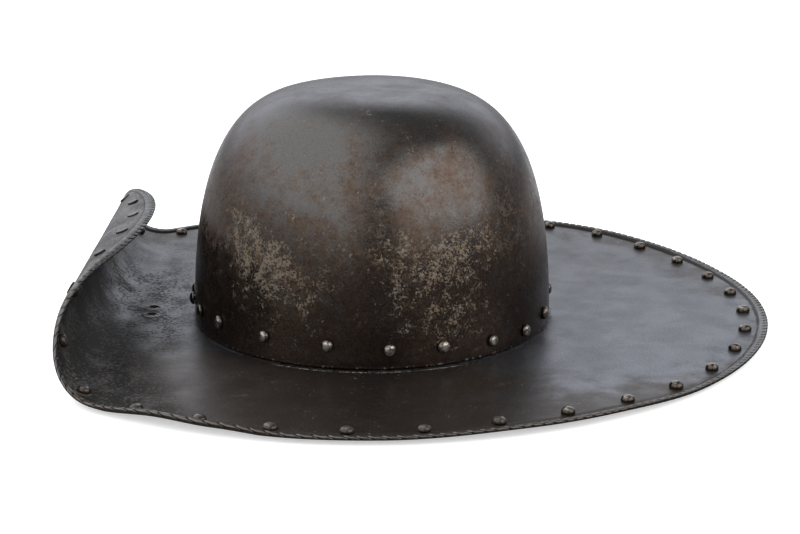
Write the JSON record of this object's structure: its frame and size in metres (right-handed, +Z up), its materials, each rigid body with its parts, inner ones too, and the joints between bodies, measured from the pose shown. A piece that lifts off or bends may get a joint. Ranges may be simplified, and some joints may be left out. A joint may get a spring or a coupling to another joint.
{
  "type": "kettle hat",
  "caption": "Iron war hat with an oval domed crown riveted over the collar of a broad flat brim, one side turned up and over, the rim rolled, roped and studded with rivets.",
  "frame": {"origin": "middle of the hat's box in plan, on the ground that its rolled rim stands on", "axes": "+X away from the turned-up side, +Y towards the back of the hat as seen in the picture, +Z up through the crown"},
  "size_m": [0.3712, 0.4268, 0.1283],
  "materials": {
    "crown_iron": "raised iron plate with a dark brown-black patina rubbed back to bare grey metal in patches, satin sheen",
    "brim_iron": "blue-grey satin iron plate with fine grain, pitted and mottled dark near the turned-up side",
    "crown_rivet_iron": "worn bright iron rivet heads, darker at the foot",
    "brim_rivet_iron": "brown oxidised iron rivet heads, rubbed brighter on the dome"
  },
  "bodies": {
    "root": {"crown": "crown_iron", "brim": "brim_iron", "crown_rivet_01": "crown_rivet_iron", "crown_rivet_02": "crown_rivet_iron", "crown_rivet_03": "crown_rivet_iron", "crown_rivet_04": "crown_rivet_iron", "crown_rivet_05": "crown_rivet_iron", "crown_rivet_06": "crown_rivet_iron", "crown_rivet_07": "crown_rivet_iron", "crown_rivet_08": "crown_rivet_iron", "crown_rivet_09": "crown_rivet_iron", "crown_rivet_10": "crown_rivet_iron", "crown_rivet_11": "crown_rivet_iron", "crown_rivet_12": "crown_rivet_iron", "crown_rivet_13": "crown_rivet_iron", "crown_rivet_14": "crown_rivet_iron", "crown_rivet_15": "crown_rivet_iron", "crown_rivet_16": "crown_rivet_iron", "crown_rivet_17": "crown_rivet_iron", "crown_rivet_18": "crown_rivet_iron", "crown_rivet_19": "crown_rivet_iron", "crown_rivet_20": "crown_rivet_iron", "brim_rivet_01": "brim_rivet_iron", "brim_rivet_02": "brim_rivet_iron", "brim_rivet_03": "brim_rivet_iron", "brim_rivet_04": "brim_rivet_iron", "brim_rivet_05": "brim_rivet_iron", "brim_rivet_06": "brim_rivet_iron", "brim_rivet_07": "brim_rivet_iron", "brim_rivet_08": "brim_rivet_iron", "brim_rivet_09": "brim_rivet_iron", "brim_rivet_10": "brim_rivet_iron", "brim_rivet_11": "brim_rivet_iron", "brim_rivet_12": "brim_rivet_iron", "brim_rivet_13": "brim_rivet_iron", "brim_rivet_14": "brim_rivet_iron", "brim_rivet_15": "brim_rivet_iron", "brim_rivet_16": "brim_rivet_iron", "brim_rivet_17": "brim_rivet_iron", "brim_rivet_18": "brim_rivet_iron", "brim_rivet_19": "brim_rivet_iron", "brim_rivet_20": "brim_rivet_iron", "brim_rivet_21": "brim_rivet_iron", "brim_rivet_22": "brim_rivet_iron", "brim_rivet_23": "brim_rivet_iron", "brim_rivet_24": "brim_rivet_iron", "brim_rivet_25": "brim_rivet_iron", "brim_rivet_26": "brim_rivet_iron", "brim_rivet_27": "brim_rivet_iron", "brim_rivet_28": "brim_rivet_iron", "brim_rivet_29": "brim_rivet_iron", "brim_rivet_30": "brim_rivet_iron", "brim_rivet_31": "brim_rivet_iron", "brim_rivet_32": "brim_rivet_iron", "brim_rivet_33": "brim_rivet_iron", "brim_rivet_34": "brim_rivet_iron", "brim_rivet_35": "brim_rivet_iron", "brim_rivet_36": "brim_rivet_iron"}
  },
  "joints": []
}
